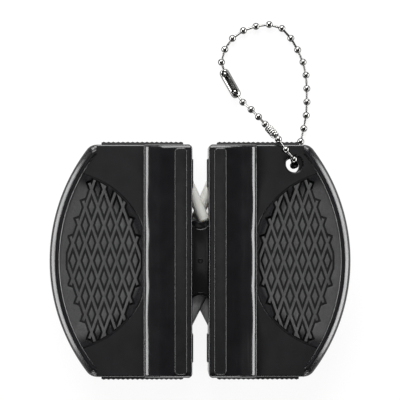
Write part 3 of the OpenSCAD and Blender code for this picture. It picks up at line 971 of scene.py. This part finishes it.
def floor():
    size = 3.0
    mesh = bpy.data.meshes.new("floor")
    corners = [(-size, -size, 0), (size, -size, 0), (size, size, 0), (-size, size, 0)]
    mesh.from_pydata(corners, [], [(0, 1, 2, 3)])
    ob = new_object("floor", mesh)
    ob.location.z = -0.00002
    mat = bpy.data.materials.new("paper_floor")
    mat.use_nodes = True
    tree = mat.node_tree
    tree.nodes.clear()
    out = tree.nodes.new("ShaderNodeOutputMaterial")
    paper = tree.nodes.new("ShaderNodeBsdfDiffuse")
    paper.inputs["Color"].default_value = (0.86, 0.86, 0.86, 1)
    glow = tree.nodes.new("ShaderNodeEmission")
    glow.inputs["Color"].default_value = (1, 1, 1, 1)
    path = tree.nodes.new("ShaderNodeLightPath")
    link = tree.links.new
    seen = path.outputs["Is Camera Ray"]
    for kind in ("Is Glossy Ray", "Is Transmission Ray"):
        total = tree.nodes.new("ShaderNodeMath")
        total.operation, total.use_clamp = "ADD", True
        link(seen, total.inputs[0])
        link(path.outputs[kind], total.inputs[1])
        seen = total.outputs[0]
    share = tree.nodes.new("ShaderNodeMath")
    share.operation = "MULTIPLY"
    share.inputs[1].default_value = FLOOR_GLOW
    mix = tree.nodes.new("ShaderNodeMixShader")
    link(seen, share.inputs[0])
    link(share.outputs[0], mix.inputs[0])
    link(paper.outputs[0], mix.inputs[1])
    link(glow.outputs[0], mix.inputs[2])
    link(mix.outputs[0], out.inputs["Surface"])
    mesh.materials.append(mat)


def world():
    w = bpy.data.worlds.new("studio")
    bpy.context.scene.world = w
    w.use_nodes = True
    back = w.node_tree.nodes["Background"]
    back.inputs["Color"].default_value = (1, 1, 1, 1)
    back.inputs["Strength"].default_value = 0.085


camera()
floor()
world()
area("left_box", (-420, 0, 85), (0, 0, 8), (520, 120), 2.5)
area("right_box", (420, 0, 85), (0, 0, 8), (520, 120), 2.7)
area("top_box", (0, 430, 110), (0, 0, 8), (520, 110), 2.4)
area("front_box", (0, -430, 90), (0, 0, 8), (520, 90), 1.6)
area("overhead_box", (-10, 12, 900), (0, 12, 8), (230, 230), 0.075)
area("key_box", (-90, 470, 420), (0, 0, 8), (520, 340), 5.8)
bpy.context.scene.view_settings.view_transform = "Standard"

# ---------------------------------------------------------------- the cord, then the pieces
chain_parts = bead_parts() + link_parts()
chain = new_object("bead_chain", finish_mesh(mesh_of("chain", *merged(chain_parts)), 40))
chain.data.materials.append(CHROME)
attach(chain, "chain")
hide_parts("chain_beads", "chain_links")
coil = piece("wire_coil", finish_mesh(coil_mesh(), 60), CLASP, "chain_coil", "chain")
clasp = piece("chain_clasp_tube", finish_mesh(clasp_mesh(), 40), CLASP, "chain_clasp", "clasp")

shell("front_shell_body", "front_shell", FRONT_RIGHT, (HOLE_X, HOLE_Y, HOLE_R))
shell("back_shell_body", "back_shell", BACK_LEFT, (-BACK_HOLE_X, BACK_HOLE_Y, BACK_HOLE_R))

PLACES = {
    "front_right": FRONT_RIGHT, "front_left": FRONT_LEFT, "back_left": BACK_LEFT, "back_right": BACK_RIGHT,
}
grip_shape, bar_shape = grip_mesh(), bar_mesh()
for place, matrix in PLACES.items():
    piece(f"grip_inlay_{place}", finish_mesh(placed(grip_shape, matrix), 40), GRIP, f"grip_{place}")
    piece(f"bar_{place}", finish_mesh(placed(bar_shape, matrix)), BAR, f"spine_bar_{place}")
for side, matrix in (("front", FRONT_RIGHT), ("back", BACK_LEFT)):
    piece(f"ceramic_{side}", finish_mesh(placed(rod_mesh(), matrix), 50), CERAMIC, f"ceramic_rod_{side}")
    piece(f"carbide_{side}", finish_mesh(placed(blade_mesh(), matrix)), CARBIDE, f"carbide_blade_{side}")

for node, material in (
    ("rod_cradle", INNER), ("blade_cradle", INNER), ("locating_pins", STEEL),
    ("end_pad_top_left", PAD), ("end_pad_top_right", PAD),
    ("end_pad_bottom_left", PAD), ("end_pad_bottom_right", PAD),
):
    ob = frame["nodes"][node]
    for slot in ob.material_slots:
        slot.material = material
    if not ob.material_slots:
        ob.data.materials.append(material)
